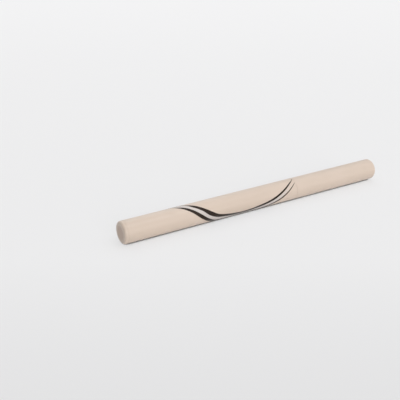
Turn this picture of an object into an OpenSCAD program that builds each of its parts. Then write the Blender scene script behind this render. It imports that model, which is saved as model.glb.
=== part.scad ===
// Liquid eyeliner pen with a free-ink feed, lying on its side.
// The axis runs along X, from the tail at -X to the closed end of the cap at +X.
// The origin is under the middle of the pen, on the surface that it lies on.
// Every sub-part is turned about the pen's axis. A place on that axis is a station, the distance
// from the tail's face, and lay_down() carries the stations over to X.

/* [Barrel] */
// Outer diameter of the barrel, the tail plug and the cap
pen_d = 10; // [9.8:0.1:12]
// Length of the barrel's tube
barrel_len = 86.8; // [80:0.1:100]
// Wall of the barrel's tube
barrel_wall = 1.3; // [1.2:0.05:1.4]
// Round on the outer rims where barrel, plug and cap meet
rim_round = 0.05; // [0.05:0.05:0.3]
// Lead-in chamfer of the tube's bore at both ends, and of the cap's mouth
bore_chamfer = 0.15; // [0.05:0.05:0.2]

/* [Tail plug] */
// Thickness of the plug's head
plug_head_t = 1.6; // [1.4:0.1:3]
// Rounding of the head's outer edge, as it shows at the tail
plug_round = 1.1; // [0.5:0.1:1.2]
// Length of the plug's stem inside the barrel
plug_stem_len = 7.5; // [6:0.5:10]
// Wall of the hollow stem
plug_stem_wall = 0.9; // [0.7:0.1:1.4]
// Thickness of the stem's floor, in front of the head
plug_floor_t = 0.6; // [0.4:0.1:1.2]
// Thickness of the cross ribs in the stem
plug_rib_t = 0.8; // [0.5:0.1:1.2]
// How far the cross ribs stay back from the stem's open end
plug_rib_setback = 1.2; // [0.6:0.1:2]
// Ribs that cross in the stem
plug_rib_count = 2; // [1:1:3]

/* [Ink tank] */
// Wall of the tank
tank_wall = 0.5; // [0.4:0.05:0.55]
// Thickness of the tank's closed end
tank_floor_t = 0.8; // [0.6:0.1:1.5]
// Rounding of the closed end, outside
tank_round = 1.2; // [0.6:0.1:2]
// Rounding of the closed end, inside
tank_inner_round = 0.8; // [0.4:0.1:1.6]

/* [Mixing ball] */
// Diameter of the steel ball that stirs the ink
ball_d = 3.2; // [2.4:0.1:3.4]
// Where the ball lies, from the tank's floor to its centre
ball_rest = 10; // [6:0.5:20]

/* [Collector] */
// Length of the collector's plug in the tank's mouth
collector_plug_len = 6; // [5:0.5:8]
// Thickness of the flange between the tank and the front section
collector_flange_t = 0.8; // [0.6:0.1:1.2]
// Diameter of the comb's discs
comb_d = 5.9; // [5.5:0.1:6.1]
// Diameter of the core that carries the discs
comb_core_d = 3.4; // [3:0.1:3.8]
// Thickness of one disc
fin_t = 0.35; // [0.25:0.05:0.5]
// Pitch of the discs
fin_pitch = 0.75; // [0.65:0.05:1.2]
// Plain core between the flange and the first disc
comb_lead = 1; // [0.6:0.1:2]
// Width of the capillary slit that feeds the discs
slit_w = 0.2; // [0.15:0.05:0.4]
// Width of the air channel cut through the discs
air_channel_w = 1.2; // [0.8:0.1:1.6]
// Diameter of the pilot at the collector's front end
pilot_d = 3.5; // [3.1:0.1:3.8]
// Length of the pilot in the nose
pilot_len = 3; // [2:0.5:5]

/* [Tank seal] */
// Diameter at the bottom of the O-ring's groove
seal_groove_d = 4.4; // [4.2:0.1:4.6]
// Width of the O-ring's groove
seal_groove_w = 1.3; // [1.1:0.1:1.6]

/* [Wick and nib] */
// Diameter of the fibre wick
wick_d = 1.5; // [1:0.1:1.8]
// Length of wick that stands in the ink
wick_in_tank = 5.5; // [3:0.5:10]
// Diameter of the felt nib
nib_d = 2; // [1.6:0.1:2.2]
// Length of nib that shows in front of the nose
nib_out = 7.5; // [5:0.5:9]
// Length of the nib's ground taper
nib_taper_len = 5.4; // [3:0.2:6.4]
// Radius of the nib's point
nib_point_r = 0.15; // [0.1:0.05:0.3]
// Length of nib behind its holder
nib_behind = 4; // [2:0.5:6]

/* [Nib holder] */
// Outer diameter of the nib holder
holder_d = 3.1; // [2.9:0.1:3.2]
// How far the holder stands out of the nose
holder_out = 1; // [0.6:0.1:2]
// Length of the holder's seat in the nose
holder_seat_len = 5.7; // [4:0.1:7]
// Diameter of the holder's flange
holder_flange_d = 3.5; // [3.4:0.1:3.8]
// Thickness of the holder's flange
holder_flange_t = 0.8; // [0.5:0.1:1.2]

/* [Front section] */
// Length of the spigot that is pushed into the barrel
spigot_len = 19; // [14:0.5:24]
// Length of the neck that the cap grips
neck_len = 10; // [8.5:0.5:11]
// Height of the neck's friction bead over the neck
neck_bead_h = 0.08; // [0.04:0.02:0.08]
// Place of the friction bead in front of the barrel
neck_bead_at = 5; // [3:0.5:7]
// Length of the cone from the neck down to the sealing land
neck_cone_len = 1; // [0.6:0.1:1.5]
// Diameter of the land that the inner cap seals on
land_d = 6.4; // [6.3:0.05:6.5]
// Length of the sealing land
land_len = 2; // [1.5:0.1:2.4]
// Step from the land down to the nose
land_step = 0.1; // [0.05:0.05:0.2]
// Length of the nose, from the end of the neck to its tip
nose_len = 16; // [14:0.5:18]
// Diameter of the nose at its tip
nose_tip_d = 4.2; // [4.1:0.1:4.8]
// Length of the straight tip of the nose
nose_tip_len = 1.5; // [1:0.1:2.5]
// Wall between the comb's chamber and the neck's end
chamber_end_t = 1; // [0.8:0.1:1.6]

/* [Cap] */
// Length of the cap
cap_len = 49.5; // [42:0.1:56]
// Wall of the cap at its mouth
cap_wall = 0.8; // [0.7:0.05:0.9]
// Wall of the cap round the inner cap
cap_upper_wall = 1.15; // [1.1:0.05:1.2]
// Thickness of the cap's closed end
cap_end_t = 1.4; // [1.2:0.1:2]
// Rounding of the closed end's outer edge
cap_round = 1.3; // [0.6:0.1:1.6]
// Thickness of the cross ribs behind the inner cap
cap_rib_t = 0.8; // [0.5:0.1:1.2]
// Length of these ribs, between the inner cap and the cap's end
cap_rib_len = 3.6; // [2:0.1:6]

/* [Inner cap] */
// Wall of the inner cap
liner_wall = 0.7; // [0.6:0.05:0.72]
// Thickness of the inner cap's closed end
liner_end_t = 0.9; // [0.6:0.1:1.2]
// Length of the flange at the inner cap's mouth
liner_flange_len = 0.9; // [0.6:0.1:1.2]
// Rounding of the inner cap's closed end, outside
liner_round = 1.2; // [0.6:0.1:1.6]
// Rounding of the inner cap's closed end, inside
liner_inner_round = 0.7; // [0.4:0.1:1.2]

/* [Fits] */
// Gap of the two hairline joints that show, at the plug's head and at the cap's mouth
joint_gap = 0.05; // [0.05:0.05:0.2]
// Gap between end faces that meet inside the pen
face_gap = 0.1; // [0.05:0.05:0.2]
// Radial gap of stems and spigots that are pushed in
press_gap = 0.05; // [0.02:0.01:0.06]
// Radial gap between the tank and the barrel
tank_gap = 0.15; // [0.1:0.05:0.2]
// Radial gap between the neck and the cap's mouth
cap_gap = 0.1; // [0.1:0.01:0.12]
// Radial gap of the seals, and of the ball on the tank's wall
seal_gap = 0.03; // [0.02:0.01:0.05]

/* [Snap beads] */
// Radius of the beads that snap into the barrel
snap_r = 0.5; // [0.4:0.05:0.6]
// Height of these beads over their stems
snap_h = 0.12; // [0.1:0.02:0.16]
// Radial room of a groove round its bead
snap_room = 0.08; // [0.06:0.02:0.1]

/* [Hidden] */

$fn = 96;
// Every cut runs this far past the face that it opens
overrun = 1;
// Chamfer on hidden edges that lead a piece into its seat
edge_chamfer = 0.3;
// Steps of a curved outline that follows a formula
curve_steps = 12;
// Power of the nose's hollow taper, and of the nib's full one
nose_power = 1.6;
nib_power = 1.5;

pen_r = pen_d / 2;
bore_r = pen_r - barrel_wall;

// Stations of the barrel and the plug, from the tail's face
barrel_s0 = plug_head_t + joint_gap;
barrel_s1 = barrel_s0 + barrel_len;
plug_s1 = plug_head_t + plug_stem_len;
stem_r = bore_r - press_gap;
plug_bead_s = plug_head_t + plug_stem_len / 2;

// Stations of the front section and what it carries
spigot_s0 = barrel_s1 - spigot_len;
spigot_bead_s = barrel_s1 - spigot_len / 4;
neck_s1 = barrel_s1 + neck_len;
land_s0 = neck_s1 + neck_cone_len;
land_s1 = land_s0 + land_len;
nose_s1 = neck_s1 + nose_len;
nose_curve_s1 = nose_s1 - nose_tip_len;
chamber_s1 = neck_s1 - chamber_end_t;
neck_r = pen_r - cap_wall - cap_gap;
land_r = land_d / 2;
nose_r = land_r - land_step;
nose_tip_r = nose_tip_d / 2;

comb_r = comb_d / 2;
chamber_r = comb_r + press_gap;
pilot_r = pilot_d / 2;
nose_bore_r = pilot_r + press_gap;
holder_r = holder_d / 2;
tip_bore_r = holder_r + press_gap;

// Stations of the tank and the collector
flange_s1 = spigot_s0 - face_gap;
flange_s0 = flange_s1 - collector_flange_t;
tank_s0 = plug_s1 + face_gap;
tank_s1 = flange_s0 - face_gap;
tank_r = bore_r - tank_gap;
tank_bore_r = tank_r - tank_wall;
tank_floor_s = tank_s0 + tank_floor_t;
collector_s0 = flange_s0 - collector_plug_len;
collector_plug_r = tank_bore_r - press_gap;
collector_flange_r = bore_r - tank_gap;
comb_core_r = comb_core_d / 2;
comb_s0 = flange_s1 + comb_lead;
comb_s1 = chamber_s1 - comb_lead;
fin_count = floor((comb_s1 - comb_s0 - fin_t) / fin_pitch) + 1;
pilot_s1 = chamber_s1 + pilot_len;
seal_s = collector_s0 + collector_plug_len / 2;
seal_groove_r = seal_groove_d / 2;
seal_cord_r = (tank_bore_r - seal_groove_r) / 2 - seal_gap;
seal_ring_r = (tank_bore_r + seal_groove_r) / 2;

// Stations of the holder, the nib and the wick
holder_step_s = nose_s1 - holder_seat_len;
holder_s0 = holder_step_s - holder_flange_t - face_gap;
holder_s1 = nose_s1 + holder_out;
nib_r = nib_d / 2;
nib_bore_r = nib_r + press_gap;
nib_s0 = holder_s0 - nib_behind;
nib_s1 = nose_s1 + nib_out;
wick_r = wick_d / 2;
wick_bore_r = wick_r + press_gap;
wick_s0 = collector_s0 - wick_in_tank;
wick_s1 = nib_s0 - face_gap;

// Stations of the cap and the inner cap
cap_s0 = barrel_s1 + joint_gap;
pen_len = cap_s0 + cap_len;
cap_mouth_r = pen_r - cap_wall;
cap_bore_r = pen_r - cap_upper_wall;
cap_end_s = pen_len - cap_end_t;
liner_s0 = land_s0 + face_gap;
liner_flange_s1 = liner_s0 + liner_flange_len;
cap_step_s = liner_flange_s1 + face_gap;
liner_r = cap_bore_r - press_gap;
liner_flange_r = cap_mouth_r - press_gap;
liner_bore_r = liner_r - liner_wall;
lip_r = land_r + seal_gap;
lip_s1 = land_s1 + liner_flange_len;
cap_rib_s0 = cap_end_s - cap_rib_len;
liner_s1 = cap_rib_s0 - face_gap;
liner_inner_s1 = liner_s1 - liner_end_t;

ball_r = ball_d / 2;
ball_drop = tank_bore_r - ball_r - seal_gap;

nude = "#DCCBBB";
black = "#222124";
natural = "#E9E6DE";
feed_white = "#F4F2EC";
fibre = "#D9D4C8";
ink = "#141316";
steel = "#B9BBBF";
rubber = "#3A3A3C";

// Lays a piece that is built upright along its stations down on its side
module lay_down() {
    translate([-pen_len / 2, 0, pen_r]) rotate([0, 90, 0]) children();
}

// Outline of a closed rod from the axis out to r, from station s0 to s1, with rounded outer corners
module rod_outline(r, s0, s1, round0 = 0, round1 = 0) {
    difference() {
        translate([0, s0]) square([r, s1 - s0]);
        if (round0 > 0) corner_waste(r, s0, round0, 1);
        if (round1 > 0) corner_waste(r, s1, round1, -1);
    }
}

// What a round takes off the corner at radius r and station s. side is 1 where the piece lies
// above the corner, and -1 where it lies below
module corner_waste(r, s, round, side) {
    difference() {
        translate([r - round, side > 0 ? s - overrun : s - round])
            square([round + overrun, round + overrun]);
        translate([r - round, s + side * round]) circle(r = round);
    }
}

// Outline of a bead whose crown stands h over radius r
module bead_outline(r, s, h) {
    translate([r + h - snap_r, s]) circle(r = snap_r);
}

// Outline of the groove that takes that bead, with some room round it
module groove_outline(r, s, h) {
    translate([r + h - snap_r, s]) circle(r = snap_r + snap_room);
}

// Ribs that cross on the axis from station s0 to s1, kept within radius r
module cross_ribs(r, s0, s1, t, count) {
    intersection() {
        translate([0, 0, s0]) cylinder(r = r, h = s1 - s0);
        for (i = [0 : count - 1])
            rotate([0, 0, i * 180 / count])
                translate([-pen_r, -t / 2, s0]) cube([pen_d, t, s1 - s0]);
    }
}

// Radius of the nose at a share of its taper, hollow towards the straight tip
function nose_taper_r(share) = nose_tip_r + (nose_r - nose_tip_r) * pow(1 - share, nose_power);

// Radius of the nib at a share of its taper, full towards the shaft
function nib_taper_r(share) = nib_point_r + (nib_r - nib_point_r) * (1 - pow(share, nib_power));

function fin_s(i) = comb_s0 + i * fin_pitch;

module barrel() {
    color(nude) lay_down() rotate_extrude() difference() {
        rod_outline(pen_r, barrel_s0, barrel_s1, rim_round, rim_round);
        translate([0, barrel_s0 - overrun]) square([bore_r, barrel_len + 2 * overrun]);
        polygon([
            [0, barrel_s0 - bore_chamfer], [bore_r + 2 * bore_chamfer, barrel_s0 - bore_chamfer],
            [bore_r, barrel_s0 + bore_chamfer], [0, barrel_s0 + bore_chamfer]
        ]);
        polygon([
            [0, barrel_s1 + bore_chamfer], [bore_r + 2 * bore_chamfer, barrel_s1 + bore_chamfer],
            [bore_r, barrel_s1 - bore_chamfer], [0, barrel_s1 - bore_chamfer]
        ]);
        groove_outline(stem_r, plug_bead_s, snap_h);
        groove_outline(stem_r, spigot_bead_s, snap_h);
    }
}

module tail_plug() {
    cup_r = stem_r - plug_stem_wall;
    cup_s0 = plug_head_t + plug_floor_t;
    color(nude) lay_down() {
        rotate_extrude() difference() {
            union() {
                rod_outline(pen_r, 0, plug_head_t, plug_round, rim_round);
                polygon([
                    [0, 0], [stem_r, 0], [stem_r, plug_s1 - edge_chamfer],
                    [stem_r - edge_chamfer, plug_s1], [0, plug_s1]
                ]);
                bead_outline(stem_r, plug_bead_s, snap_h);
            }
            translate([0, cup_s0]) square([cup_r, plug_s1]);
        }
        cross_ribs(
            cup_r + plug_stem_wall / 2, cup_s0 - plug_floor_t / 2, plug_s1 - plug_rib_setback,
            plug_rib_t, plug_rib_count
        );
    }
}

module ink_tank() {
    color(natural) lay_down() rotate_extrude() difference() {
        rod_outline(tank_r, tank_s0, tank_s1, tank_round, 0);
        rod_outline(tank_bore_r, tank_floor_s, tank_s1 + overrun, tank_inner_round, 0);
        polygon([
            [0, tank_s1 - edge_chamfer], [tank_bore_r, tank_s1 - edge_chamfer],
            [tank_bore_r + edge_chamfer, tank_s1], [0, tank_s1]
        ]);
    }
}

// The ball lies on the tank's wall, on the side that faces down
module mixing_ball() {
    color(steel) lay_down() translate([ball_drop, 0, tank_floor_s + ball_rest]) sphere(r = ball_r);
}

module tank_seal() {
    color(rubber) lay_down() rotate_extrude() translate([seal_ring_r, seal_s]) circle(r = seal_cord_r);
}

// The comb feed: a plug for the tank, a flange, and thin discs on one core. Ink rises in the slit
// and spreads between the discs, and air comes back along the channel on the other side
module collector() {
    groove_s0 = seal_s - seal_groove_w / 2;
    groove_s1 = seal_s + seal_groove_w / 2;
    color(feed_white) lay_down() difference() {
        rotate_extrude() polygon(concat(
            [
                [0, collector_s0], [collector_plug_r - edge_chamfer, collector_s0],
                [collector_plug_r, collector_s0 + edge_chamfer], [collector_plug_r, groove_s0],
                [seal_groove_r, groove_s0], [seal_groove_r, groove_s1],
                [collector_plug_r, groove_s1], [collector_plug_r, flange_s0],
                [collector_flange_r, flange_s0], [collector_flange_r, flange_s1],
                [comb_core_r, flange_s1]
            ],
            [
                for (i = [0 : fin_count - 1]) each [
                    [comb_core_r, fin_s(i)], [comb_r, fin_s(i)],
                    [comb_r, fin_s(i) + fin_t], [comb_core_r, fin_s(i) + fin_t]
                ]
            ],
            [
                [comb_core_r, chamber_s1 - comb_lead / 2], [pilot_r, chamber_s1 - comb_lead / 2],
                [pilot_r, pilot_s1 - edge_chamfer], [pilot_r - edge_chamfer, pilot_s1], [0, pilot_s1]
            ]
        ));
        translate([0, 0, collector_s0 - overrun])
            cylinder(r = wick_bore_r, h = pilot_s1 - collector_s0 + 2 * overrun);
        translate([-comb_d, -slit_w / 2, flange_s1])
            cube([comb_d, slit_w, comb_s1 - flange_s1]);
        translate([-(wick_bore_r + seal_groove_r) / 2, -slit_w / 2, collector_s0 - overrun])
            cube([seal_groove_r, slit_w, flange_s1 - collector_s0 + 2 * overrun]);
        translate([comb_core_r, -air_channel_w / 2, comb_s0 - overrun / 2])
            cube([comb_d, air_channel_w, comb_s1 - comb_s0 + overrun]);
    }
}

module wick() {
    color(fibre) lay_down() rotate_extrude() polygon([
        [0, wick_s0], [wick_r / 2, wick_s0], [wick_r, wick_s0 + wick_r / 2],
        [wick_r, wick_s1 - wick_r / 2], [wick_r / 2, wick_s1], [0, wick_s1]
    ]);
}

module front_section() {
    color(black) lay_down() rotate_extrude() union() {
        polygon(concat(
            [
                [chamber_r, spigot_s0], [stem_r - edge_chamfer, spigot_s0],
                [stem_r, spigot_s0 + edge_chamfer], [stem_r, barrel_s1], [neck_r, barrel_s1],
                [neck_r, neck_s1 - edge_chamfer], [neck_r - edge_chamfer / 2, neck_s1],
                [land_r, land_s0], [land_r, land_s1 - land_step]
            ],
            [
                for (i = [0 : curve_steps]) [
                    nose_taper_r(i / curve_steps),
                    land_s1 + (nose_curve_s1 - land_s1) * i / curve_steps
                ]
            ],
            [
                [nose_tip_r, nose_s1 - edge_chamfer], [nose_tip_r - edge_chamfer, nose_s1],
                [tip_bore_r, nose_s1], [tip_bore_r, holder_step_s], [nose_bore_r, holder_step_s],
                [nose_bore_r, chamber_s1], [chamber_r, chamber_s1 - edge_chamfer]
            ]
        ));
        intersection() {
            bead_outline(stem_r, spigot_bead_s, snap_h);
            translate([chamber_r + press_gap, spigot_s0]) square([pen_r, spigot_len]);
        }
        intersection() {
            bead_outline(neck_r, barrel_s1 + neck_bead_at, neck_bead_h);
            translate([chamber_r + press_gap, barrel_s1]) square([pen_r, neck_len]);
        }
    }
}

module nib_holder() {
    holder_flange_r = holder_flange_d / 2;
    color(black) lay_down() rotate_extrude() polygon([
        [nib_bore_r, holder_s0], [holder_flange_r, holder_s0],
        [holder_flange_r, holder_s0 + holder_flange_t], [holder_r, holder_s0 + holder_flange_t],
        [holder_r, holder_s1 - edge_chamfer / 2], [holder_r - edge_chamfer / 2, holder_s1],
        [nib_bore_r, holder_s1]
    ]);
}

module nib() {
    taper_s0 = nib_s1 - nib_taper_len;
    taper_s1 = nib_s1 - nib_point_r;
    color(ink) lay_down() rotate_extrude() polygon(concat(
        [[0, nib_s0], [nib_r - edge_chamfer, nib_s0], [nib_r, nib_s0 + edge_chamfer]],
        [
            for (i = [0 : curve_steps]) [
                nib_taper_r(i / curve_steps),
                taper_s0 + (taper_s1 - taper_s0) * i / curve_steps
            ]
        ],
        [
            for (a = [30, 60, 90])
                [a < 90 ? nib_point_r * cos(a) : 0, taper_s1 + nib_point_r * sin(a)]
        ]
    ));
}

module cap_shell() {
    color(nude) lay_down() {
        rotate_extrude() difference() {
            rod_outline(pen_r, cap_s0, pen_len, rim_round, cap_round);
            translate([0, cap_s0 - overrun]) square([cap_mouth_r, cap_step_s - cap_s0 + overrun]);
            translate([0, cap_s0]) square([cap_bore_r, cap_end_s - cap_s0]);
            polygon([
                [0, cap_s0 - bore_chamfer], [cap_mouth_r + 2 * bore_chamfer, cap_s0 - bore_chamfer],
                [cap_mouth_r, cap_s0 + bore_chamfer], [0, cap_s0 + bore_chamfer]
            ]);
            groove_outline(neck_r, barrel_s1 + neck_bead_at, cap_gap);
        }
        cross_ribs(
            cap_bore_r + cap_upper_wall / 2, cap_rib_s0, cap_end_s + cap_end_t / 2, cap_rib_t, 2
        );
    }
}

module inner_cap() {
    color(natural) lay_down() rotate_extrude() difference() {
        union() {
            rod_outline(liner_r, liner_s0, liner_s1, 0, liner_round);
            translate([0, liner_s0]) square([liner_flange_r, liner_flange_len]);
        }
        rod_outline(liner_bore_r, liner_s0, liner_inner_s1, 0, liner_inner_round);
        polygon([
            [0, liner_s0 - edge_chamfer], [lip_r + 2 * edge_chamfer, liner_s0 - edge_chamfer],
            [lip_r, liner_s0 + edge_chamfer], [lip_r, lip_s1],
            [liner_bore_r, lip_s1 + lip_r - liner_bore_r], [0, lip_s1 + lip_r - liner_bore_r]
        ]);
    }
}

barrel();
tail_plug();
ink_tank();
mixing_ball();
tank_seal();
collector();
wick();
front_section();
nib_holder();
nib();
cap_shell();
inner_cap();
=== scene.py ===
"""Looks of a slim liquid eyeliner pen that lies on its side on a pale studio floor.

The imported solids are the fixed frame. This script dresses them, lays the printed strokes round the
barrel, and sets up the floor, the lamps and the camera. Stations are distances from the tail's face
along the pen's axis, and angles go round the axis from the top towards the front side, at -Y.
"""

import logging
import math
from dataclasses import dataclass, field
from enum import Enum

import bmesh
import bpy
from mathutils import Euler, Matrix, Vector


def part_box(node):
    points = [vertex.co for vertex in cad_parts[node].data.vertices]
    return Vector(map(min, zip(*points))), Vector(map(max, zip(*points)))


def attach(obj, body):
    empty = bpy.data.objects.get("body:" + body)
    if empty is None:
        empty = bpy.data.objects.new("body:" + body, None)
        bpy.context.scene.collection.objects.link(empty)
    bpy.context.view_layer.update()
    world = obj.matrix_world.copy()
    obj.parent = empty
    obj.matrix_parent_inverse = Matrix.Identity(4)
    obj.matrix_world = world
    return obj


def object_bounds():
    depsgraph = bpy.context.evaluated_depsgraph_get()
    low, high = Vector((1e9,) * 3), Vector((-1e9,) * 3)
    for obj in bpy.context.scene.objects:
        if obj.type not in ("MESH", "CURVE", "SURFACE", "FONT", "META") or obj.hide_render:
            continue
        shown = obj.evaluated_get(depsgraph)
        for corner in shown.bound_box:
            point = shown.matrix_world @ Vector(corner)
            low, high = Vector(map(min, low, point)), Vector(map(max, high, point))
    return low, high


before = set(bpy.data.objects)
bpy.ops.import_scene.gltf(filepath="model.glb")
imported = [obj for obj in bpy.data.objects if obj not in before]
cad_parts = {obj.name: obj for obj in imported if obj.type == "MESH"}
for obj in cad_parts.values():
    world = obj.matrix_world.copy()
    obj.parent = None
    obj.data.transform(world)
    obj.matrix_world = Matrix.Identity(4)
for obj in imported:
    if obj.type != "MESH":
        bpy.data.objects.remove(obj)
CAD_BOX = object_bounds()
PEN_MIDDLE = (CAD_BOX[0] + CAD_BOX[1]) / 2

MM = 0.001
# Level direction from the front of the set to its back
INTO_THE_SET = (0.51, 0.86, 0.0)
# Most values of an unevenness lie between these two
MOTTLE_SPREAD = (0.3, 0.7)
# Weight of each finer layer of an unevenness against the one before
LAYER_WEIGHT = 0.5
# Edges sharper than this stay crisp on a smooth piece
CRISP_EDGE_DEG = 40.0
# Strength at which a glowing surface shows its colour as it is written
AS_WRITTEN = 1.0
log = logging.getLogger("eyeliner_pen")


class Body(Enum):
    """The bodies that pieces ride on."""

    BARREL = "barrel"
    CAP = "cap"
    BALL = "ball"


def linear_colour(hex_value: str) -> tuple[float, float, float, float]:
    """Turns an sRGB hex value into the linear colour that shaders take.

    Args:
        hex_value: Colour as "#RRGGBB".

    Returns:
        Linear red, green and blue, and an alpha of 1.
    """
    parts = [int(hex_value[i:i + 2], 16) / 255 for i in (1, 3, 5)]
    linear = [c / 12.92 if c <= 0.04045 else ((c + 0.055) / 1.055) ** 2.4 for c in parts]
    return (*linear, 1.0)


def add_node(
    tree: bpy.types.NodeTree,
    kind: str,
    values: dict[str | int, object] | None = None,
    links: dict[str | int, bpy.types.NodeSocket] | None = None,
    **settings: object,
) -> bpy.types.Node:
    """Adds one node with its settings, its values and what feeds it.

    Args:
        tree: Node tree that takes the node.
        kind: Blender's name of the node's type.
        values: Value by input name or number.
        links: Output socket by the input name or number that it feeds.
        **settings: Attributes of the node, such as operation.

    Returns:
        The new node.
    """
    node = tree.nodes.new(kind)
    for name, value in settings.items():
        setattr(node, name, value)
    for key, value in (values or {}).items():
        node.inputs[key].default_value = value
    for key, socket in (links or {}).items():
        tree.links.new(socket, node.inputs[key])
    return node


def seen_directly(tree: bpy.types.NodeTree) -> bpy.types.NodeSocket:
    """Tells the rays that show a background, from the camera or by way of metal or glass.

    Args:
        tree: Node tree that takes the nodes.

    Returns:
        1 for such a ray, and 0 for one that only carries light.
    """
    rays = add_node(tree, "ShaderNodeLightPath")
    glossy = add_node(tree, "ShaderNodeMath", links={
        0: rays.outputs["Is Camera Ray"], 1: rays.outputs["Is Glossy Ray"],
    }, operation="MAXIMUM")
    direct = add_node(tree, "ShaderNodeMath", links={
        0: glossy.outputs[0], 1: rays.outputs["Is Transmission Ray"],
    }, operation="MAXIMUM")
    return direct.outputs[0]


def texture_scale(pitch_mm: float) -> float:
    """Gives the Scale of a texture whose features lie a real distance apart.

    Args:
        pitch_mm: Distance between features, in millimetres.

    Returns:
        Scale for a texture that reads Object coordinates in metres.
    """
    return 1 / (pitch_mm * MM)


@dataclass(frozen=True)
class Surface:
    """A material while it is built: its node tree, its shader and Object coordinates."""

    tree: bpy.types.NodeTree
    shader: bpy.types.Node
    place: bpy.types.NodeSocket

    def feed(self, socket: str, source: bpy.types.NodeSocket) -> None:
        """Lets a socket drive one of the shader's inputs."""
        self.tree.links.new(source, self.shader.inputs[socket])

    def mottle(
        self, pitch_mm: float, octaves: float = 2.0,
        stretch: tuple[float, float, float] = (1.0, 1.0, 1.0),
    ) -> bpy.types.NodeSocket:
        """Adds an unevenness of a real pitch.

        Args:
            pitch_mm: Distance between its features.
            octaves: Finer layers on top.
            stretch: How many times closer the features lie along each axis.

        Returns:
            The unevenness, around 0.5.
        """
        mapped = add_node(self.tree, "ShaderNodeMapping", {"Scale": stretch}, {
            "Vector": self.place,
        })
        noise = add_node(self.tree, "ShaderNodeTexNoise", {
            "Scale": texture_scale(pitch_mm), "Detail": octaves, "Roughness": LAYER_WEIGHT,
        }, {"Vector": mapped.outputs["Vector"]})
        return noise.outputs["Fac"]

    def tint(
        self, factor: bpy.types.NodeSocket, *stops: tuple[float, str],
    ) -> bpy.types.NodeSocket:
        """Lets the base colour run through a few colours with a factor.

        Args:
            factor: What drives the colour.
            *stops: Two or more pairs of the factor's value and the colour there, as hex.

        Returns:
            The colour.
        """
        ramp = add_node(self.tree, "ShaderNodeValToRGB", links={"Fac": factor})
        for element, (value, colour) in zip(ramp.color_ramp.elements, (stops[0], stops[-1])):
            element.position = value
            element.color = linear_colour(colour)
        for value, colour in stops[1:-1]:
            ramp.color_ramp.elements.new(value).color = linear_colour(colour)
        self.feed("Base Color", ramp.outputs["Color"])
        return ramp.outputs["Color"]

    def cloud(
        self, factor: bpy.types.NodeSocket, low: str, high: str,
    ) -> bpy.types.NodeSocket:
        """Lets the base colour drift between two colours with an unevenness.

        Args:
            factor: The unevenness.
            low: Colour where it is low, as hex.
            high: Colour where it is high, as hex.

        Returns:
            The colour.
        """
        return self.tint(factor, (MOTTLE_SPREAD[0], low), (MOTTLE_SPREAD[1], high))

    def cover(
        self, colour: bpy.types.NodeSocket, other: str, clear: bpy.types.NodeSocket,
    ) -> None:
        """Lets the base colour give way to another one in places.

        Args:
            colour: The base colour.
            other: The other colour, as hex.
            clear: 1 where the base colour stays, and 0 where the other one takes its place.
        """
        mixed = add_node(self.tree, "ShaderNodeMixRGB", {
            "Color1": linear_colour(other),
        }, {"Color2": colour, "Fac": clear})
        self.feed("Base Color", mixed.outputs["Color"])

    def relief(self, height: bpy.types.NodeSocket, depth_mm: float) -> None:
        """Gives the surface a fine relief.

        Args:
            height: Height from 0 to 1.
            depth_mm: Height of the relief.
        """
        bump = add_node(self.tree, "ShaderNodeBump", {
            "Strength": 1.0, "Distance": depth_mm * MM,
        }, {"Height": height})
        self.feed("Normal", bump.outputs["Normal"])

    def roughen(self, factor: bpy.types.NodeSocket, swing: float) -> None:
        """Lets the roughness swing round its plain value.

        Args:
            factor: What drives the roughness, from 0 to 1.
            swing: How far the roughness goes to either side.
        """
        plain = self.shader.inputs["Roughness"].default_value
        spread = add_node(self.tree, "ShaderNodeMapRange", {
            "To Min": plain - swing, "To Max": plain + swing,
        }, {"Value": factor})
        self.feed("Roughness", spread.outputs["Result"])


@dataclass(frozen=True)
class Finish:
    """What every finish has: a name, a colour and the shader's plain values."""

    name: str
    colour: str
    roughness: float
    ior: float = 1.5
    metallic: float = 0.0

    def material(self) -> bpy.types.Material:
        """Gives the finish's material, which is built at its first use."""
        return bpy.data.materials.get(self.name) or self.build()

    def build(self) -> bpy.types.Material:
        """Builds the material.

        Returns:
            The finished material.
        """
        made = bpy.data.materials.new(self.name)
        made.use_nodes = True
        tree = made.node_tree
        tree.nodes.clear()
        shader = add_node(tree, "ShaderNodeBsdfPrincipled", {
            "Base Color": linear_colour(self.colour),
            "Roughness": self.roughness,
            "IOR": self.ior,
            "Metallic": self.metallic,
        })
        add_node(tree, "ShaderNodeOutputMaterial", links={"Surface": shader.outputs["BSDF"]})
        place = add_node(tree, "ShaderNodeTexCoord").outputs["Object"]
        self.detail(Surface(tree, shader, place))
        return made

    def detail(self, surface: Surface) -> None:
        """Adds what is particular to the finish. The plain finish adds nothing."""


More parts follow.
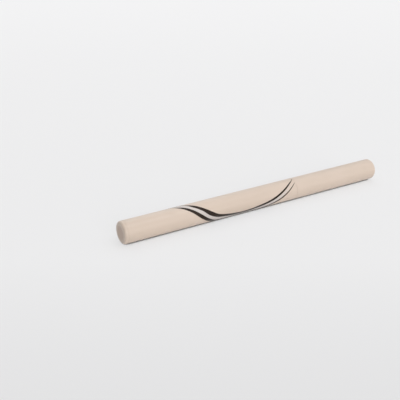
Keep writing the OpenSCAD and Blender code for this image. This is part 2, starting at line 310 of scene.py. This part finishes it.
@dataclass(frozen=True)
class SatinLacquer(Finish):
    """Satin lacquer sprayed on moulded ABS: an even pale skin with a soft, wide sheen.

    The spray leaves a very fine orange peel, and the colour drifts a little along the part. The
    discs at the pen's two ends are painted darker and warmer, as painted shade for a dark
    reflection.
    """

    painted_end_shade: str = "#C4AB99"
    end_shade_disc_mm: float = 2.5
    unshaded_ring_mm: float = 3.5
    drift_low: str = "#D2C0B0"
    drift_high: str = "#D5C3B4"
    drift_pitch_mm: float = 14.0
    peel_pitch_mm: float = 0.45
    peel_depth_mm: float = 0.0012
    rub_pitch_mm: float = 5.0
    rub_run: float = 0.3
    rub_swing: float = 0.05

    def detail(self, surface: Surface) -> None:
        """Adds the drift of the colour, the painted end shade, the orange peel and smoother places.

        Args:
            surface: The material while it is built.
        """
        drift = surface.mottle(self.drift_pitch_mm, octaves=3.0)
        coat = surface.cloud(drift, self.drift_low, self.drift_high)
        # Painted shade: the end discs take a darker, warmer colour in place of the lacquer's
        surface.cover(coat, self.painted_end_shade, self.clear_of_end_shade(surface))
        surface.relief(surface.mottle(self.peel_pitch_mm, octaves=1.0), self.peel_depth_mm)
        rubbed = surface.mottle(self.rub_pitch_mm, stretch=(self.rub_run, 1.0, 1.0))
        surface.roughen(rubbed, self.rub_swing)

    def clear_of_end_shade(self, surface: Surface) -> bpy.types.NodeSocket:
        """Tells where the painted end shade lies, by the distance from the centre of the nearer end.

        Args:
            surface: The material while it is built.

        Returns:
            0 on the painted-shade disc at either end, and 1 from the unshaded ring onwards.
        """
        end_centre = (CAD_BOX[1].x - PEN_MIDDLE.x, 0.0, 0.0)
        off_middle = add_node(surface.tree, "ShaderNodeVectorMath", {1: PEN_MIDDLE}, {
            0: surface.place,
        }, operation="SUBTRACT")
        folded = add_node(surface.tree, "ShaderNodeVectorMath", links={
            0: off_middle.outputs["Vector"],
        }, operation="ABSOLUTE")
        from_end = add_node(surface.tree, "ShaderNodeVectorMath", {1: end_centre}, {
            0: folded.outputs["Vector"],
        }, operation="DISTANCE")
        return add_node(surface.tree, "ShaderNodeMapRange", {
            "From Min": self.end_shade_disc_mm * MM, "From Max": self.unshaded_ring_mm * MM,
        }, {"Value": from_end.outputs["Value"]}).outputs["Result"]


@dataclass(frozen=True)
class PrintInk(Finish):
    """Dark screen-print ink: a thin even film that is a little duller than the lacquer under it.

    The mesh of the screen leaves a fine grain, drawn at 0.15 mm so that it shows at all.
    """

    grain_pitch_mm: float = 0.15
    grain_depth_mm: float = 0.002
    cover_pitch_mm: float = 1.2
    thin: str = "#2B1C10"
    full: str = "#1D1208"
    gloss_swing: float = 0.06
    dust_weight: float = 0.28
    dust_roughness: float = 0.4

    def detail(self, surface: Surface) -> None:
        """Adds the grain of the screen, the thinner places and a powdery edge at flat angles.

        Args:
            surface: The material while it is built.
        """
        surface.shader.inputs["Sheen Weight"].default_value = self.dust_weight
        surface.shader.inputs["Sheen Roughness"].default_value = self.dust_roughness
        cover = surface.mottle(self.cover_pitch_mm, octaves=4.0)
        surface.cloud(cover, self.full, self.thin)
        grain = surface.mottle(self.grain_pitch_mm, octaves=1.0)
        surface.relief(grain, self.grain_depth_mm)
        surface.roughen(grain, self.gloss_swing)


@dataclass(frozen=True)
class PearlInk(Finish):
    """Silver-white pearl ink: fine flakes in a clear film, paler and cooler than the lacquer.

    The flakes are 0.02 mm in truth and drawn at 0.12 mm, so that they glint in a close view.
    """

    flake_mm: float = 0.12
    flake_dark: str = "#C1B8B3"
    flake_light: str = "#D6CDC8"
    glint_swing: float = 0.08

    def detail(self, surface: Surface) -> None:
        """Adds the flakes, each with its own tone and its own roughness.

        Args:
            surface: The material while it is built.
        """
        flakes = add_node(surface.tree, "ShaderNodeTexVoronoi", {
            "Scale": texture_scale(self.flake_mm), "Randomness": 1.0,
        }, {"Vector": surface.place})
        tone = add_node(surface.tree, "ShaderNodeSeparateColor", links={
            "Color": flakes.outputs["Color"],
        })
        surface.tint(tone.outputs["Red"], (0.0, self.flake_dark), (1.0, self.flake_light))
        surface.roughen(tone.outputs["Green"], self.glint_swing)


@dataclass(frozen=True)
class NaturalPolypropylene(Finish):
    """Natural moulded polypropylene: milky and a little see-through, with a waxy surface."""

    low: str = "#E7E4DB"
    high: str = "#ECE9E1"
    scatter_weight: float = 0.35
    scatter_mm: float = 0.8
    scatter_by_colour: tuple[float, float, float] = (1.0, 0.9, 0.75)
    cloud_pitch_mm: float = 6.0
    wax_pitch_mm: float = 0.8
    wax_depth_mm: float = 0.002

    def detail(self, surface: Surface) -> None:
        """Adds the light's spread under the surface and the waxy unevenness.

        Args:
            surface: The material while it is built.
        """
        surface.shader.inputs["Subsurface Weight"].default_value = self.scatter_weight
        surface.shader.inputs["Subsurface Radius"].default_value = self.scatter_by_colour
        surface.shader.inputs["Subsurface Scale"].default_value = self.scatter_mm * MM
        milk = surface.mottle(self.cloud_pitch_mm, octaves=3.0)
        surface.cloud(milk, self.low, self.high)
        surface.relief(surface.mottle(self.wax_pitch_mm), self.wax_depth_mm)


@dataclass(frozen=True)
class BlackPolypropylene(Finish):
    """Black moulded polypropylene: deep and half glossy, with faint flow lines round the part.

    The grain of the mould is finer in truth and is drawn at 0.6 mm, so that it shows.
    """

    low: str = "#121113"
    high: str = "#1B1A1C"
    flow_pitch_mm: float = 1.5
    flow_stretch: tuple[float, float, float] = (2.5, 0.4, 0.4)
    flow_depth_mm: float = 0.0015
    cloud_pitch_mm: float = 2.5
    grain_pitch_mm: float = 0.6
    gloss_swing: float = 0.06

    def detail(self, surface: Surface) -> None:
        """Adds the flow lines, a cloudy tone and the uneven gloss of a spark-eroded mould.

        Args:
            surface: The material while it is built.
        """
        flow = surface.mottle(self.flow_pitch_mm, stretch=self.flow_stretch)
        surface.relief(flow, self.flow_depth_mm)
        tone = surface.mottle(self.cloud_pitch_mm, octaves=3.0)
        surface.cloud(tone, self.low, self.high)
        surface.roughen(surface.mottle(self.grain_pitch_mm), self.gloss_swing)


@dataclass(frozen=True)
class InkedFelt(Finish):
    """Felt nib wet with black ink: fibres that run along the nib, with a dull wet sheen.

    The fibres are about 0.02 mm thick in truth and drawn at 0.12 mm, so that they show.
    """

    hollow: tuple[float, str] = (0.35, "#0E0D0F")
    crest: tuple[float, str] = (0.75, "#2A272A")
    fibre_mm: float = 0.12
    fibre_run: float = 0.06
    fibre_depth_mm: float = 0.02
    gloss_swing: float = 0.12

    def detail(self, surface: Surface) -> None:
        """Adds the fibres as long streaks in height, tone and gloss.

        Args:
            surface: The material while it is built.
        """
        along = (self.fibre_run, 1.0, 1.0)
        fibre = surface.mottle(self.fibre_mm, octaves=3.0, stretch=along)
        surface.tint(fibre, self.hollow, self.crest)
        surface.relief(fibre, self.fibre_depth_mm)
        surface.roughen(fibre, self.gloss_swing)


@dataclass(frozen=True)
class BondedFibre(Finish):
    """Bonded polyester wick: white threads that run lengthwise, dull and dry.

    The threads are about 0.02 mm thick in truth and drawn at 0.1 mm, so that they show.
    """

    low: str = "#C9C4B8"
    high: str = "#E6E2D8"
    thread_mm: float = 0.1
    thread_run: float = 0.05
    thread_depth_mm: float = 0.03

    def detail(self, surface: Surface) -> None:
        """Adds the threads as long streaks.

        Args:
            surface: The material while it is built.
        """
        along = (self.thread_run, 1.0, 1.0)
        thread = surface.mottle(self.thread_mm, octaves=3.0, stretch=along)
        surface.cloud(thread, self.low, self.high)
        surface.relief(thread, self.thread_depth_mm)


@dataclass(frozen=True)
class WhiteAbs(Finish):
    """White moulded ABS of the feed: opaque, with sharp thin discs and a soft gloss."""

    low: str = "#ECE9E2"
    high: str = "#F4F2EC"
    cloud_pitch_mm: float = 2.0
    gloss_swing: float = 0.05

    def detail(self, surface: Surface) -> None:
        """Adds a faint drift of tone and of gloss.

        Args:
            surface: The material while it is built.
        """
        drift = surface.mottle(self.cloud_pitch_mm, octaves=3.0)
        surface.cloud(drift, self.low, self.high)
        surface.roughen(drift, self.gloss_swing)


@dataclass(frozen=True)
class GroundSteel(Finish):
    """Ground stainless steel of the ball: bright, with faint lapping marks.

    The marks are finer in truth and are drawn at 0.2 mm, so that they show.
    """

    low: str = "#B4B5B8"
    high: str = "#C9CACD"
    mark_pitch_mm: float = 0.2
    mark_run: float = 0.2
    gloss_swing: float = 0.06

    def detail(self, surface: Surface) -> None:
        """Adds the lapping marks.

        Args:
            surface: The material while it is built.
        """
        marks = surface.mottle(self.mark_pitch_mm, stretch=(self.mark_run, 1.0, 1.0))
        surface.cloud(marks, self.low, self.high)
        surface.roughen(marks, self.gloss_swing)


@dataclass(frozen=True)
class NitrileRubber(Finish):
    """Moulded nitrile rubber of the seal: dark grey, dull, with a faint bloom."""

    low: str = "#2C2C2E"
    high: str = "#454547"
    bloom_pitch_mm: float = 0.5
    bloom_depth_mm: float = 0.003

    def detail(self, surface: Surface) -> None:
        """Adds the bloom.

        Args:
            surface: The material while it is built.
        """
        bloom = surface.mottle(self.bloom_pitch_mm, octaves=3.0)
        surface.cloud(bloom, self.low, self.high)
        surface.relief(bloom, self.bloom_depth_mm)


@dataclass(frozen=True)
class StudioPaper(Finish):
    """Seamless white paper: dull, with painted shade that darkens it towards the front of the set.

    A painted glow, seen only from the camera and in gloss, lightens the shadow on it. The glow
    grows with distance until the paper runs into the backdrop. It is left out in the crease
    beside whatever touches the paper, which the lamps hardly reach, and a dark colour is painted
    there as a contact shadow. The shades through the set are pairs of a distance into the set,
    in metres, and the colour there. A thing within the crease's reach hides some of the sky over
    the paper: the painted shadow is full where the share that stays free is crease_closed, and
    gone where it is crease_open.
    """

    # Painted shade: the paper's colour by depth, darkest in a band in front of the pen
    painted_shade_tones: tuple[tuple[float, str], ...] = (
        (-0.5, "#EEEEEE"),
        (-0.16, "#B6B6B6"),
        (-0.05, "#E2E2E2"),
        (0.56, "#FAFAFA"),
    )
    glow: str = "#F4F4F5"
    glow_share: float = 0.65
    sweep_from_m: float = 0.3
    sweep_to_m: float = 1.4
    crease_reach_mm: float = 4.0
    crease_closed: float = 0.115
    crease_open: float = 0.185
    # Colour of the painted contact shadow in the crease
    crease: str = "#5C5149"

    def detail(self, surface: Surface) -> None:
        """Adds the painted shade through the set, the painted crease shadow and the glow.

        Args:
            surface: The material while it is built.
        """
        tone = self.painted_shade_by_depth(surface)
        clear = self.clear_of_painted_shadow(surface)
        # Painted contact shadow: the crease colour takes the place of the paper's shade by depth
        surface.cover(tone, self.crease, clear)
        self.light_up(surface, clear)

    def painted_shade_by_depth(self, surface: Surface) -> bpy.types.NodeSocket:
        """Lets the colour follow the painted shade through the set.

        Args:
            surface: The material while it is built.

        Returns:
            The colour.
        """
        depth = add_node(surface.tree, "ShaderNodeVectorMath", {1: INTO_THE_SET}, {
            0: surface.place,
        }, operation="DOT_PRODUCT")
        front_m, back_m = self.painted_shade_tones[0][0], self.painted_shade_tones[-1][0]
        share = add_node(surface.tree, "ShaderNodeMapRange", {
            "From Min": front_m, "From Max": back_m,
        }, {"Value": depth.outputs["Value"]})
        return surface.tint(share.outputs["Result"], *(
            ((at_m - front_m) / (back_m - front_m), colour) for at_m, colour in self.painted_shade_tones
        ))

    def clear_of_painted_shadow(self, surface: Surface) -> bpy.types.NodeSocket:
        """Tells where the paper is clear of the painted shadow beside whatever touches it.

        Args:
            surface: The material while it is built.

        Returns:
            0 in the crease's painted shadow, and 1 where the paper is clear of it.
        """
        room_above = add_node(surface.tree, "ShaderNodeAmbientOcclusion", {
            "Distance": self.crease_reach_mm * MM,
        })
        return add_node(surface.tree, "ShaderNodeMapRange", {
            "From Min": self.crease_closed, "From Max": self.crease_open,
        }, {"Value": room_above.outputs["AO"]}).outputs["Result"]

    def light_up(self, surface: Surface, clear: bpy.types.NodeSocket) -> None:
        """Adds the painted glow that lightens the shadow, for rays that show the paper as a
        background.

        Args:
            surface: The material while it is built.
            clear: 0 in the crease's painted shadow, and 1 where the paper is clear of it.
        """
        tree = surface.tree
        far = add_node(tree, "ShaderNodeVectorMath", links={
            0: surface.place,
        }, operation="LENGTH")
        sweep = add_node(tree, "ShaderNodeMapRange", {
            "From Min": self.sweep_from_m, "From Max": self.sweep_to_m,
            "To Min": self.glow_share, "To Max": 1.0,
        }, {"Value": far.outputs["Value"]})
        lit = add_node(tree, "ShaderNodeMath", links={
            0: sweep.outputs["Result"], 1: clear,
        }, operation="MULTIPLY")
        glowing = add_node(tree, "ShaderNodeMath", links={
            0: lit.outputs[0], 1: seen_directly(tree),
        }, operation="MULTIPLY")
        glow = add_node(tree, "ShaderNodeEmission", {
            "Color": linear_colour(self.glow), "Strength": AS_WRITTEN,
        })
        mixed = add_node(tree, "ShaderNodeMixShader", links={
            0: glowing.outputs[0], 1: surface.shader.outputs["BSDF"], 2: glow.outputs["Emission"],
        })
        tree.links.new(mixed.outputs[0], tree.get_output_node("ALL").inputs["Surface"])


LACQUER = SatinLacquer("nude_satin_lacquer", "#D3C1B2", roughness=0.3)
DARK_INK = PrintInk("dark_print_ink", "#23170D", roughness=0.42, ior=1.3)
PEARL_INK = PearlInk("silver_pearl_ink", "#CBC2BD", roughness=0.42, metallic=0.1)
NATURAL = NaturalPolypropylene("natural_polypropylene", "#E9E6DE", roughness=0.42)
BLACK = BlackPolypropylene("black_polypropylene", "#161517", roughness=0.26, ior=1.49)
FELT = InkedFelt("black_inked_felt", "#151416", roughness=0.62)
FIBRE = BondedFibre("bonded_fibre", "#D9D4C8", roughness=0.85)
FEED = WhiteAbs("white_feed_abs", "#F0EEE8", roughness=0.38)
STEEL = GroundSteel("ground_steel", "#BEBFC2", roughness=0.18, metallic=1.0)
RUBBER = NitrileRubber("nitrile_rubber", "#38383A", roughness=0.7)
PAPER = StudioPaper("studio_paper", "#EBEBEB", roughness=0.9)


@dataclass
class SubAssembly:
    """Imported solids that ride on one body, each with the finish that its real piece has."""

    body: Body
    finishes: dict[str, Finish]

    def build(self) -> None:
        """Dresses the solids."""
        for node, finish in self.finishes.items():
            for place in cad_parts[node].material_slots:
                place.material = finish.material()
            log.info("dressed %s, on the body %s, in %s", node, self.body.value, finish.name)


@dataclass
class WritingPen(SubAssembly):
    """The pen without its cap: the barrel, its plug, the ink's way to the nib, and the nose."""

    body: Body = Body.BARREL
    finishes: dict[str, Finish] = field(default_factory=lambda: {
        "barrel": LACQUER,
        "tail_plug": LACQUER,
        "ink_tank": NATURAL,
        "tank_seal": RUBBER,
        "collector": FEED,
        "wick": FIBRE,
        "front_section": BLACK,
        "nib_holder": BLACK,
        "nib": FELT,
    })


@dataclass
class Cap(SubAssembly):
    """The cap: its shell, and the liner that keeps the nib wet."""

    body: Body = Body.CAP
    finishes: dict[str, Finish] = field(default_factory=lambda: {
        "cap_shell": LACQUER,
        "inner_cap": NATURAL,
    })


@dataclass
class MixingBall(SubAssembly):
    """The loose ball in the tank, which stirs the ink when the pen is shaken."""

    body: Body = Body.BALL
    finishes: dict[str, Finish] = field(default_factory=lambda: {
        "mixing_ball": STEEL,
    })


def order_faces(bm: bmesh.types.BMesh) -> None:
    """Puts the faces in the order of their corners, since solidify leaves them in a chance order.

    Args:
        bm: The shape.
    """
    bm.verts.index_update()
    count = len(bm.verts)
    corners = {face: sorted(vert.index for vert in face.verts) for face in bm.faces}
    bm.faces.sort(key=lambda face: corners[face][0] * count + corners[face][-1])


def placed(bm: bmesh.types.BMesh, name: str, finish: Finish) -> bpy.types.Object:
    """Turns a bmesh into an object of the scene.

    Args:
        bm: The shape, in the row frame. It is freed.
        name: Name of the object.
        finish: Its finish.

    Returns:
        The object.
    """
    mesh = bpy.data.meshes.new(name)
    bm.to_mesh(mesh)
    bm.free()
    mesh.materials.append(finish.material())
    made = bpy.data.objects.new(name, mesh)
    bpy.context.scene.collection.objects.link(made)
    return made


def finished_piece(
    bm: bmesh.types.BMesh, name: str, finish: Finish, body: Body,
) -> bpy.types.Object:
    """Turns a bmesh into a smooth piece that rides on a body.

    Args:
        bm: The shape, in the row frame. It is freed.
        name: Name of the piece.
        finish: Its finish.
        body: The body that it rides on.

    Returns:
        The piece.
    """
    piece = placed(bm, name, finish)
    piece.data.shade_smooth()
    piece.data.set_sharp_from_angle(angle=math.radians(CRISP_EDGE_DEG))
    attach(piece, body.value)
    return piece


@dataclass(frozen=True)
class Stroke:
    """One printed stroke, whose film stands out of the lacquer by its lift.

    Its waypoints are (station mm, angle in degrees, width mm).
    """

    name: str
    finish: Finish
    slot: str
    lift_mm: float
    waypoints: tuple[tuple[float, float, float], ...]

    def path_point(self, share: float, radius_mm: float) -> Vector:
        """Follows the waypoints on a smooth curve through all of them.

        Args:
            share: Place along the stroke, from 0 to 1.
            radius_mm: Radius of the surface that the stroke lies on.

        Returns:
            Station, length round the barrel, and width, all in millimetres.
        """
        flat = [
            Vector((station, math.radians(angle) * radius_mm, width))
            for station, angle, width in self.waypoints
        ]
        last = len(flat) - 1
        at = min(int(share * last), last - 1)
        t = share * last - at
        before, start, end, after = (flat[min(max(at + k, 0), last)] for k in (-1, 0, 1, 2))
        return 0.5 * (
            2 * start
            + (end - before) * t
            + (2 * before - 5 * start + 4 * end - after) * t ** 2
            + (3 * start - before - 3 * end + after) * t ** 3
        )

    def film_point(
        self, share: float, across: float, step: float, radius_mm: float,
    ) -> tuple[float, float]:
        """Finds a point of the stroke, off to one side of its path.

        Args:
            share: Place along the stroke, from 0 to 1.
            across: Place across it in widths, from -0.5 to 0.5.
            step: Share of the stroke over which its direction is taken.
            radius_mm: Radius of the surface that the stroke lies on.

        Returns:
            Station in millimetres, and angle round the barrel in radians.
        """
        here = self.path_point(share, radius_mm)
        ahead = self.path_point(min(share + step, 1.0), radius_mm)
        behind = self.path_point(max(share - step, 0.0), radius_mm)
        run = (ahead - behind).xy.normalized()
        station = here.x - run.y * across * here.z
        return station, (here.y + run.x * across * here.z) / radius_mm


@dataclass
class BarrelPrint:
    """The print round the barrel: two dark strokes that swing under it, and a silver one between.

    The strokes start as points on the back, swell over the top and down the front, pass under the
    barrel, and come up the front again to thin out at the joint with the cap.
    """

    outer: Stroke = Stroke("outer_dark_stroke", DARK_INK, "black_plastic", 0.012, (
        (23.7, -30.0, 0.05),
        (26.6, 0.0, 0.55),
        (29.45, 20.0, 1.15),
        (32.9, 50.0, 1.35),
        (36.0, 80.0, 1.6),
        (38.8, 105.0, 1.5),
        (42.1, 130.0, 1.6),
        (45.6, 150.0, 1.5),
        (51.0, 165.0, 1.4),
        (57.5, 169.0, 1.3),
        (64.0, 157.0, 1.1),
        (70.0, 139.0, 0.95),
        (74.2, 123.5, 0.8),
        (78.25, 105.0, 0.7),
        (82.3, 80.0, 0.56),
        (85.5, 56.0, 0.4),
        (88.2, 33.0, 0.15),
    ))
    inner: Stroke = Stroke("inner_dark_stroke", DARK_INK, "black_plastic", 0.012, (
        (27.7, -30.0, 0.05),
        (31.1, 0.0, 0.5),
        (33.85, 21.0, 1.2),
        (37.55, 50.0, 1.4),
        (41.1, 80.0, 1.9),
        (44.85, 102.5, 1.6),
        (49.5, 115.5, 1.45),
        (54.0, 123.5, 1.4),
        (58.5, 127.0, 1.35),
        (63.0, 123.0, 1.3),
        (67.0, 114.5, 1.25),
        (71.2, 104.5, 1.2),
        (75.5, 89.0, 1.1),
        (81.0, 60.0, 0.82),
        (85.35, 30.0, 0.56),
        (86.85, 19.0, 0.36),
        (88.35, 3.0, 0.15),
    ))
    silver: Stroke = Stroke("silver_stroke", PEARL_INK, "ball_steel", 0.006, (
        (25.5, -34.0, 0.1),
        (27.1, -15.0, 1.6),
        (29.0, 0.0, 2.0),
        (31.6, 20.0, 2.0),
        (35.2, 50.0, 2.0),
        (38.5, 80.0, 1.8),
        (41.4, 103.0, 2.0),
        (45.6, 124.0, 2.4),
        (50.5, 142.0, 2.6),
        (58.0, 148.0, 2.2),
        (65.5, 136.0, 2.0),
        (71.0, 120.0, 1.8),
        (75.7, 103.5, 1.4),
        (79.9, 82.0, 0.95),
        (82.9, 62.0, 0.5),
        (85.5, 42.0, 0.1),
    ))
    spans_between_waypoints: int = 12
    spans_across: int = 6
    film_mm: float = 0.04

    def lay(self, stroke: Stroke) -> bpy.types.Object:
        """Lays one stroke on the barrel as a thin closed film.

        Args:
            stroke: The stroke.

        Returns:
            The stroke's object.
        """
        low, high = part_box("barrel")
        tail_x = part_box("tail_plug")[0].x
        radius_mm = (high.z - low.z) / 2 / MM
        # The pen lies on z = 0, so its true radius is the height of its axis
        axis_z = PEN_MIDDLE.z
        film_r = axis_z + stroke.lift_mm * MM
        along = self.spans_between_waypoints * (len(stroke.waypoints) - 1)
        # The grid's x and y run from -0.5 to 0.5, along the stroke and across it
        half = 0.5
        bm = bmesh.new()
        bmesh.ops.create_grid(bm, x_segments=along, y_segments=self.spans_across, size=half)
        for vert in bm.verts:
            station, around = stroke.film_point(
                vert.co.x + half, vert.co.y, half / along, radius_mm,
            )
            vert.co = (
                tail_x + station * MM,
                -film_r * math.sin(around),
                axis_z + film_r * math.cos(around),
            )
        bmesh.ops.recalc_face_normals(bm, faces=bm.faces)
        face = bm.faces[0]
        if face.normal.dot(face.calc_center_median() - Vector((0, 0, axis_z))) < 0:
            bmesh.ops.reverse_faces(bm, faces=bm.faces)
        bmesh.ops.solidify(bm, geom=bm.faces[:], thickness=self.film_mm * MM)
        order_faces(bm)
        return finished_piece(bm, stroke.name, stroke.finish, Body.BARREL)

    def build(self) -> None:
        """Lays the three strokes."""
        for stroke in (self.silver, self.outer, self.inner):
            piece = self.lay(stroke)
            log.info("laid %s with %d faces", piece.name, len(piece.data.polygons))


@dataclass(frozen=True)
class Softbox:
    """A square softbox that is aimed at the pen.

    Its share is what it adds to the brightness of a face turned to it, where 1 would show colours
    as written.
    """

    name: str
    towards: tuple[float, float, float]
    distance_m: float
    side_m: float
    share: float

    def hang(self) -> None:
        """Hangs the softbox so that it points at the pen."""
        light = bpy.data.lights.new(self.name, "AREA")
        light.shape = "SQUARE"
        light.size = self.side_m
        # A lamp of power P at distance d lights a face with P / (pi d^2), of which a white face
        # shows 1 / pi
        light.energy = self.share * (math.pi * self.distance_m) ** 2
        holder = bpy.data.objects.new(self.name, light)
        holder.location = Vector(self.towards).normalized() * self.distance_m
        holder.rotation_euler = (-holder.location).to_track_quat("-Z", "Y").to_euler()
        bpy.context.scene.collection.objects.link(holder)


@dataclass
class Studio:
    """The floor, the lamps, the world and the camera.

    The sky lights the set from all round and doesn't show. What shows in its place is a backdrop
    and, in gloss, a ceiling. They meet between two heights of a direction seen from the pen, where
    0 is the horizon and 1 is overhead. The ceiling goes from its front tone to its back tone over
    a lean of that direction, as far to the back as to the front. The camera's heading is its level
    direction, from +X towards +Y, and its pitch is how far down it looks. The pen's middle lies at
    depth_m in front of it.
    """

    lamps: tuple[Softbox, ...] = (
        Softbox("front_softbox", (-0.50, -0.70, 0.45), 2.4, 1.0, 0.065),
        Softbox("right_softbox", (0.50, -0.74, 0.45), 2.4, 3.2, 0.34),
        Softbox("low_softbox", (-0.10, -0.95, 0.28), 2.8, 1.4, 0.35),
        Softbox("top_softbox", (0.15, 0.10, 0.98), 2.4, 4.0, 0.765),
        Softbox("ceiling_spot", (0.33, -0.26, 0.91), 2.4, 0.2, 0.045),
        Softbox("back_softbox", (0.10, 0.80, 0.60), 2.4, 2.4, 0.20),
    )
    floor_half_m: float = 4.0
    floor_drop_mm: float = 0.02
    sky: str = "#FFFFFF"
    sky_strength: float = 0.18
    backdrop: str = "#F4F4F5"
    backdrop_top: float = 0.35
    front_ceiling: str = "#8C8C8E"
    back_ceiling: str = "#DCDCDE"
    ceiling_from: float = 0.75
    ceiling_turn: float = 0.3
    heading_deg: float = 59.02
    pitch_deg: float = 24.64
    focal_px: float = 696.2
    image_px: float = 400.0
    sensor_mm: float = 36.0
    depth_m: float = 0.3198
    nearest_m: float = 0.01
    farthest_m: float = 50.0
    pen_middle_px: tuple[float, float] = (257.2, 197.5)

    def floor(self) -> None:
        """Makes the paper that the pen lies on."""
        bm = bmesh.new()
        bmesh.ops.create_grid(bm, x_segments=1, y_segments=1, size=self.floor_half_m)
        bmesh.ops.translate(bm, verts=bm.verts, vec=(0, 0, -self.floor_drop_mm * MM))
        sheet = placed(bm, "studio_floor", PAPER)

    def world(self) -> None:
        """Sets the even light of the room, the pale backdrop, and the ceiling that gloss shows.

        The ceiling is darker over the front of the set, where no lamp shines on it.
        """
        room = bpy.data.worlds.new("pale_room")
        room.use_nodes = True
        tree = room.node_tree
        tree.nodes.clear()
        direction = add_node(tree, "ShaderNodeTexCoord").outputs["Generated"]
        height = add_node(tree, "ShaderNodeSeparateXYZ", links={"Vector": direction}).outputs["Z"]
        depth = add_node(tree, "ShaderNodeVectorMath", {1: INTO_THE_SET}, {
            0: direction,
        }, operation="DOT_PRODUCT").outputs["Value"]
        upwards = add_node(tree, "ShaderNodeMapRange", {
            "From Min": self.backdrop_top, "From Max": self.ceiling_from,
        }, {"Value": height}).outputs["Result"]
        backwards = add_node(tree, "ShaderNodeMapRange", {
            "From Min": -self.ceiling_turn, "From Max": self.ceiling_turn,
        }, {"Value": depth}).outputs["Result"]
        front, back, backdrop, sky = (
            add_node(tree, "ShaderNodeBackground", {
                "Color": linear_colour(colour), "Strength": strength,
            }).outputs[0]
            for colour, strength in (
                (self.front_ceiling, AS_WRITTEN),
                (self.back_ceiling, AS_WRITTEN),
                (self.backdrop, AS_WRITTEN),
                (self.sky, self.sky_strength),
            )
        )
        ceiling = add_node(tree, "ShaderNodeMixShader", links={0: backwards, 1: front, 2: back})
        seen = add_node(tree, "ShaderNodeMixShader", links={
            0: upwards, 1: backdrop, 2: ceiling.outputs[0],
        })
        lit = add_node(tree, "ShaderNodeMixShader", links={
            0: seen_directly(tree), 1: sky, 2: seen.outputs[0],
        })
        add_node(tree, "ShaderNodeOutputWorld", links={"Surface": lit.outputs[0]})
        bpy.context.scene.world = room

    def camera(self) -> None:
        """Places the camera so that the pen's middle falls on its pixel of the photograph."""
        data = bpy.data.cameras.new("camera")
        data.sensor_fit = "HORIZONTAL"
        data.sensor_width = self.sensor_mm
        data.lens = self.focal_px / self.image_px * self.sensor_mm
        data.clip_start = self.nearest_m
        data.clip_end = self.farthest_m
        holder = bpy.data.objects.new("camera", data)
        turn = Euler((
            math.radians(90 - self.pitch_deg), 0.0, math.radians(self.heading_deg - 90),
        )).to_matrix()
        right, up, back = turn.col
        off_x = (self.pen_middle_px[0] - self.image_px / 2) / self.focal_px
        off_y = (self.pen_middle_px[1] - self.image_px / 2) / self.focal_px
        ray = right * off_x - up * off_y - back
        holder.location = PEN_MIDDLE - ray * self.depth_m
        holder.rotation_euler = turn.to_euler()
        bpy.context.scene.collection.objects.link(holder)
        bpy.context.scene.camera = holder

    def build(self) -> None:
        """Sets up the whole studio."""
        self.floor()
        for lamp in self.lamps:
            lamp.hang()
        self.world()
        self.camera()
        bpy.context.scene.view_settings.view_transform = "Standard"
        log.info("studio is set with %d lamps", len(self.lamps))


def main() -> None:
    """Dresses the solids, lays the print and sets up the studio."""
    logging.basicConfig(level=logging.INFO, format="%(message)s")
    for part in (WritingPen(), Cap(), MixingBall(), BarrelPrint(), Studio()):
        part.build()


if __name__ == "__main__":
    main()
